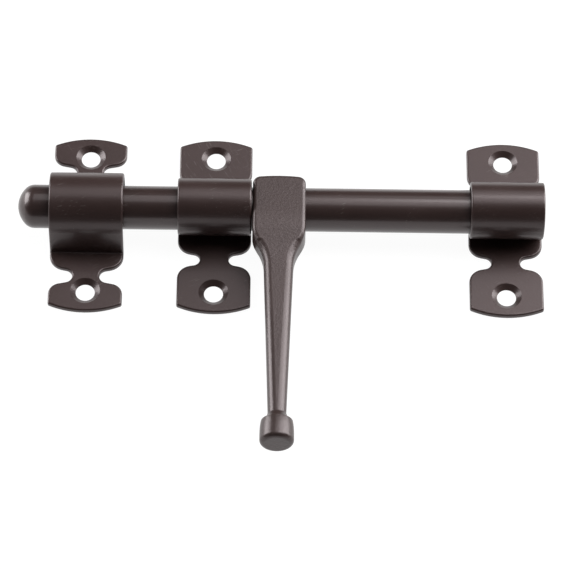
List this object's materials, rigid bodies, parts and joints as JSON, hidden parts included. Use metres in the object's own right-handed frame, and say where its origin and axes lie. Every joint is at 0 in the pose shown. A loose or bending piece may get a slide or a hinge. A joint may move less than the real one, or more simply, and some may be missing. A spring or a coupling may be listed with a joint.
{
  "type": "barrel bolt",
  "caption": "Surface-mounted barrel bolt: a drop lever slides a domed round rod through two arched guides into a wider arched keeper, all three notched sheet saddles with countersunk holes.",
  "frame": {"origin": "middle of the guides' four screw holes, on the mounting plane", "axes": "+X along the rod from the nose to the tail, +Y up the door in the mounting plane, +Z out of the mounting plane"},
  "size_m": [0.1928, 0.1385, 0.0249],
  "materials": {
    "painted_rod": "satin",
    "painted_casting": "satin",
    "painted_sheet": "satin",
    "pin_steel": "brushed"
  },
  "bodies": {
    "saddles": {"front_guide": "painted_sheet", "rear_guide": "painted_sheet", "keeper": "painted_sheet"},
    "bolt": {"bolt_rod": "painted_rod"},
    "lever": {"lever_handle": "painted_casting", "lever_pin": "pin_steel"}
  },
  "joints": [
    {"name": "bolt_slide", "type": "slide", "parent": "saddles", "child": "bolt", "axis": [1, 0, 0], "range_m": [0, 0.0599]},
    {"name": "lever_turn", "type": "hinge", "parent": "bolt", "child": "lever", "pos_m": [-0.02995, 0, 0.0122], "axis": [-1, 0, 0], "range_deg": [0, 180]}
  ]
}
